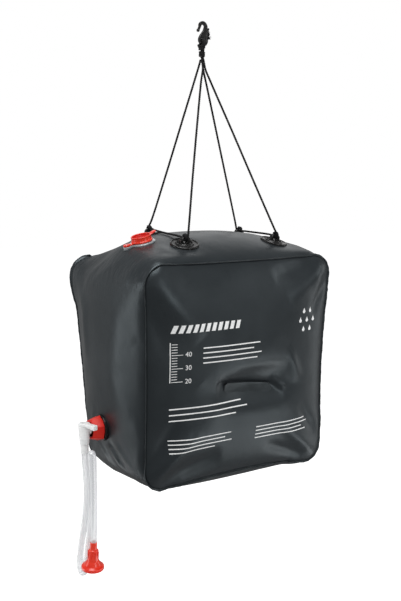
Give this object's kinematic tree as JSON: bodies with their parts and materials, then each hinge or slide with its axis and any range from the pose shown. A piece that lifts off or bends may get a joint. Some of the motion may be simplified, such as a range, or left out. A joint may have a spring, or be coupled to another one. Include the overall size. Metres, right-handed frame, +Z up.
{
  "type": "camp shower bag",
  "caption": "Black welded water bag hung by cords from a hook, with a red filler cap, a side tap and a clear folded hose ending in a red shower head.",
  "frame": {"origin": "inside of the hook's crown, where the hook rests on a branch or a rail", "axes": "+Z up, front panel towards -Y, tap side towards -X"},
  "size_m": [0.4954, 0.3206, 1.0155],
  "materials": {
    "black_vinyl": "satin",
    "black_moulding": "semi-gloss",
    "black_cord": "twisted cord",
    "red_plastic": "gloss",
    "white_plastic": "semi-gloss",
    "pale_vinyl": "translucent",
    "clear_hose": "clear",
    "rubber": "matt"
  },
  "bodies": {
    "hanger": {"hook": "black_moulding"},
    "bag": {"sling_knot": "black_cord", "sling_loop": "black_cord", "sling_cord_left": "black_cord", "sling_cord_right": "black_cord", "cord_tail_upper": "black_cord", "cord_tail_lower": "black_cord", "front_panel": "black_vinyl", "back_panel": "black_vinyl", "gusset_band": "black_vinyl", "front_weld_lip": "black_vinyl", "back_weld_lip": "black_vinyl", "tie_web": "black_vinyl", "pad_eye_left_front": "black_moulding", "pad_eye_left_back": "black_moulding", "pad_eye_right_front": "black_moulding", "pad_eye_right_back": "black_moulding", "filler_base": "pale_vinyl", "cap_anchor": "red_plastic", "tap_port": "black_moulding", "tap_nut": "red_plastic", "tap_gasket": "rubber", "tap_body": "white_plastic", "hose_cuff": "clear_hose", "hose": "clear_hose", "shower_head": "red_plastic", "rose_plate": "red_plastic"},
    "cap": {"filler_cap": "red_plastic", "cap_seal": "rubber"},
    "tap_handle": {"tap_lever": "white_plastic", "valve_plug": "white_plastic"}
  },
  "joints": [
    {"name": "bag_swing", "type": "hinge", "parent": "hanger", "child": "bag", "pos_m": [-0.0012, 0, -0.0326], "axis": [1, 0, 0], "range_deg": [-35, 35]},
    {"name": "cap_hinge", "type": "hinge", "parent": "bag", "child": "cap", "pos_m": [-0.15958, -0.01018, -0.39456], "axis": [0.0132, -0.9986, -0.0517], "range_deg": [0, 100]},
    {"name": "tap_turn", "type": "hinge", "parent": "bag", "child": "tap_handle", "pos_m": [-0.25083, 0, -0.7237], "axis": [0, 0, 1], "range_deg": [-90, 0]}
  ]
}
